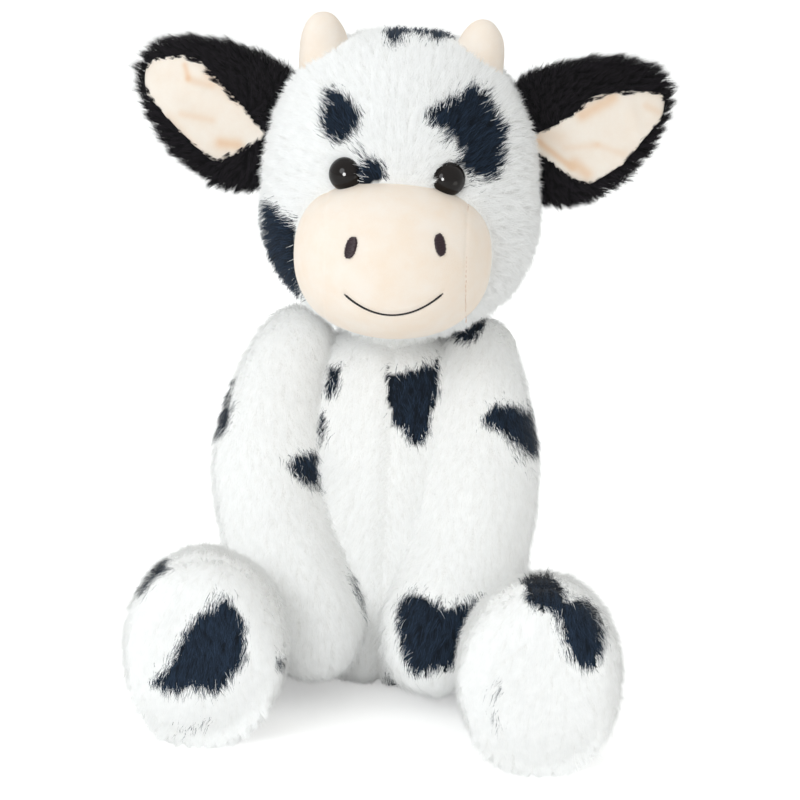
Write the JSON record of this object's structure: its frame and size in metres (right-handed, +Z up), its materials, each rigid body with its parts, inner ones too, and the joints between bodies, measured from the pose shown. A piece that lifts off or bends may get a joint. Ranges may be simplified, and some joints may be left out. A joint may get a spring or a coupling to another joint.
{
  "type": "plush cow",
  "caption": "Seated plush cow with a turning neck, loose arms and legs, flapping ears, glossy safety eyes and a stitched muzzle.",
  "frame": {"origin": "on the floor, under the middle of the flat seat", "axes": "+Z up, -Y the way the cow faces, +X the cow's own left"},
  "size_m": [0.245, 0.227, 0.3182],
  "materials": {
    "white_pile": "long soft pile, matt",
    "black_pile": "long soft pile, matt",
    "peach_cloth": "short brushed pile, matt",
    "stuffing": "loose polyester wadding",
    "eye_plastic": "gloss",
    "washer_plastic": "matt",
    "dark_thread": "satin stitched thread",
    "pouch_cloth": "plain woven cloth"
  },
  "bodies": {
    "torso": {"torso_skin": "white_pile", "torso_filling": "stuffing", "pellet_pouch": "pouch_cloth"},
    "neck": {"neck_filling": "stuffing"},
    "head": {"head_skin": "white_pile", "head_filling": "stuffing", "muzzle_front": "peach_cloth", "muzzle_side_left": "peach_cloth", "muzzle_side_right": "peach_cloth", "muzzle_filling": "stuffing", "eye_left": "eye_plastic", "eye_right": "eye_plastic", "eye_washer_left": "washer_plastic", "eye_washer_right": "washer_plastic", "nostril_left": "dark_thread", "nostril_right": "dark_thread", "mouth_thread": "dark_thread", "horn_left_skin": "peach_cloth", "horn_left_filling": "stuffing", "horn_right_skin": "peach_cloth", "horn_right_filling": "stuffing"},
    "ear_left": {"ear_left_back": "black_pile", "ear_left_lining": "peach_cloth"},
    "ear_right": {"ear_right_back": "black_pile", "ear_right_lining": "peach_cloth"},
    "arm_left": {"arm_left_skin": "white_pile", "arm_left_filling": "stuffing"},
    "arm_right": {"arm_right_skin": "white_pile", "arm_right_filling": "stuffing"},
    "leg_left": {"leg_left_skin": "white_pile", "leg_left_filling": "stuffing", "sole_left": "white_pile"},
    "leg_right": {"leg_right_skin": "white_pile", "leg_right_filling": "stuffing", "sole_right": "white_pile"},
    "tail": {"tail_cord": "white_pile", "tail_tuft": "black_pile"}
  },
  "joints": [
    {"name": "neck_nod", "type": "hinge", "parent": "torso", "child": "neck", "pos_m": [0, -0.001, 0.166], "axis": [1, 0, 0], "range_deg": [-10, 4], "stiffness_Nm_per_rad": 0.9},
    {"name": "neck_turn", "type": "hinge", "parent": "neck", "child": "head", "pos_m": [0, -0.001, 0.166], "axis": [0, 0, 1], "range_deg": [-25, 25], "stiffness_Nm_per_rad": 0.6},
    {"name": "ear_flap_left", "type": "hinge", "parent": "head", "child": "ear_left", "pos_m": [0.058, 0.004, 0.2575], "axis": [0.3539, 0.0533, -0.9338], "range_deg": [-12, 5], "stiffness_Nm_per_rad": 0.08},
    {"name": "ear_flap_right", "type": "hinge", "parent": "head", "child": "ear_right", "pos_m": [-0.058, 0.004, 0.2575], "axis": [0.3539, -0.0533, 0.9338], "range_deg": [-12, 5], "stiffness_Nm_per_rad": 0.08},
    {"name": "shoulder_left", "type": "hinge", "parent": "torso", "child": "arm_left", "pos_m": [0.044, -0.003, 0.157], "axis": [-1, 0, 0], "range_deg": [0, 32]},
    {"name": "shoulder_right", "type": "hinge", "parent": "torso", "child": "arm_right", "pos_m": [-0.044, -0.003, 0.157], "axis": [-1, 0, 0], "range_deg": [0, 32]},
    {"name": "hip_left", "type": "hinge", "parent": "torso", "child": "leg_left", "pos_m": [0.0465, -0.014, 0.0295], "axis": [-0.2425, 0, 0.9701], "range_deg": [0, 24]},
    {"name": "hip_right", "type": "hinge", "parent": "torso", "child": "leg_right", "pos_m": [-0.0465, -0.014, 0.0295], "axis": [-0.2425, 0, -0.9701], "range_deg": [0, 24]},
    {"name": "tail_lift", "type": "hinge", "parent": "torso", "child": "tail", "pos_m": [0, 0.0491, 0.0712], "axis": [1, 0, 0], "range_deg": [0, 55]}
  ]
}
